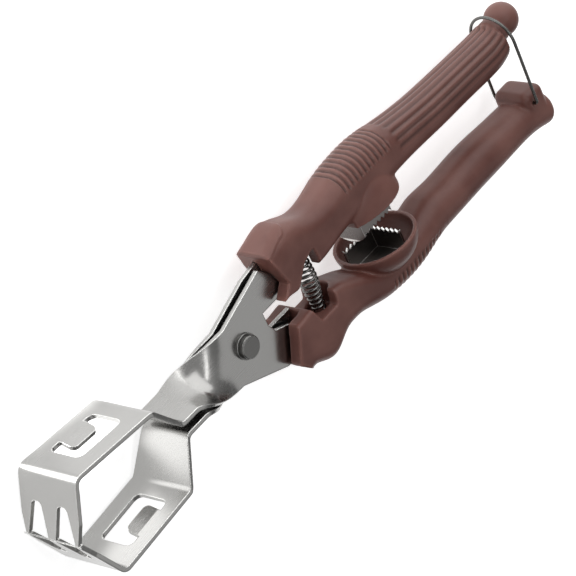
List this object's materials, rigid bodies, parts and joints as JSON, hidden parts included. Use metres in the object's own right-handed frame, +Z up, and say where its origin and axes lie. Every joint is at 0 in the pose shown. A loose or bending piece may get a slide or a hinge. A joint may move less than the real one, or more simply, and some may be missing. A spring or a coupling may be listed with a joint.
{
  "type": "chestnut cutter",
  "caption": "Pliers for scoring chestnuts: two steel fork jaws form a cage on a riveted pivot; the plastic handles hold a toothed nut cracker, a return spring and a wire lock.",
  "frame": {"origin": "centre of the bounding box, at the height of the surface that the tool lies on", "axes": "+X from the handles to the jaw tips, +Y from the upper handle to the lower one, +Z up along the pivot rivet as the tool lies on its side"},
  "size_m": [0.2642, 0.0556, 0.0308],
  "materials": {
    "jaw_steel": "rolled and stamped stainless sheet, satin, with bright sheared edges",
    "pivot_steel": "turned steel, satin, lightly worn",
    "handle_plastic": "moulded brown plastic, fine matt grain, soft sheen on the crests of its ribs",
    "liner_steel": "thin stamped steel with bright tooth edges",
    "spring_steel": "drawn spring wire, bright",
    "bail_steel": "drawn wire, darker and smooth"
  },
  "bodies": {
    "lower_half": {"lower_handle": "handle_plastic", "upper_jaw": "jaw_steel", "pivot_rivet": "pivot_steel", "near_washer": "pivot_steel", "far_washer": "pivot_steel", "plate_spacer": "pivot_steel", "lower_cracker_liner": "liner_steel", "return_spring": "spring_steel"},
    "upper_half": {"upper_handle": "handle_plastic", "lower_jaw": "jaw_steel", "upper_cracker_liner": "liner_steel"},
    "bail": {"locking_bail": "bail_steel"}
  },
  "joints": [
    {"name": "handle_hinge", "type": "hinge", "parent": "lower_half", "child": "upper_half", "pos_m": [0.03529, -0.00118, 0.0154], "axis": [0, 0, 1], "range_deg": [0, 20], "deforming": ["return_spring"]},
    {"name": "bail_swing", "type": "hinge", "parent": "lower_half", "child": "bail", "pos_m": [-0.11791, 0.01162, 0.0154], "axis": [0, 0, -1], "range_deg": [0, 110], "deforming": ["locking_bail"]}
  ]
}
